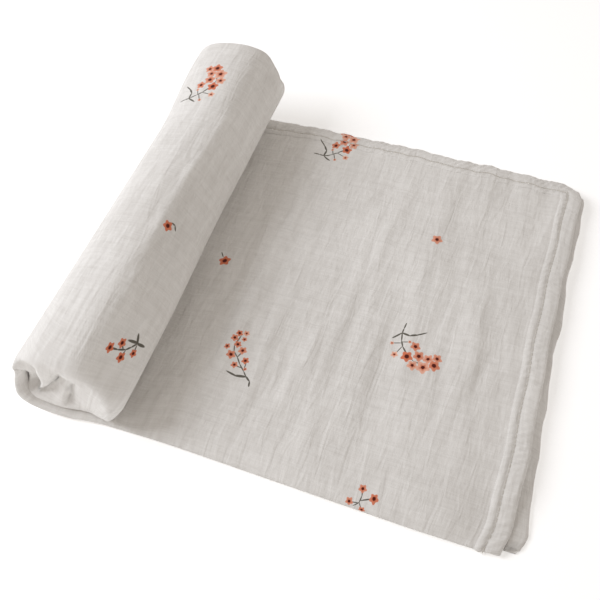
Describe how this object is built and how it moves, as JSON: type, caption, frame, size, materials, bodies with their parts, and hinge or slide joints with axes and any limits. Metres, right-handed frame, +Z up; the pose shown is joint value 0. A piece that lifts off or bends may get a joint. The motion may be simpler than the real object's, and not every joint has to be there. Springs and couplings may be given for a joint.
{
  "type": "folded swaddle blanket",
  "caption": "Square muslin swaddle blanket folded lengthwise into a layered strip and part-way rolled, with a flat hemmed tail.",
  "frame": {"origin": "middle of the bounding box in plan, on the plane of the flat underside", "axes": "+Z up; +X along the flat tail from the roll to the loose hemmed end; +Y from the rounded front fold to the back edge"},
  "size_m": [0.3304, 0.3064, 0.0682],
  "materials": {
    "muslin": "matt cream cotton gauze, softly crinkled, with a sparse coral flower-sprig print"
  },
  "bodies": {
    "root": {"blanket": "muslin"}
  },
  "joints": []
}
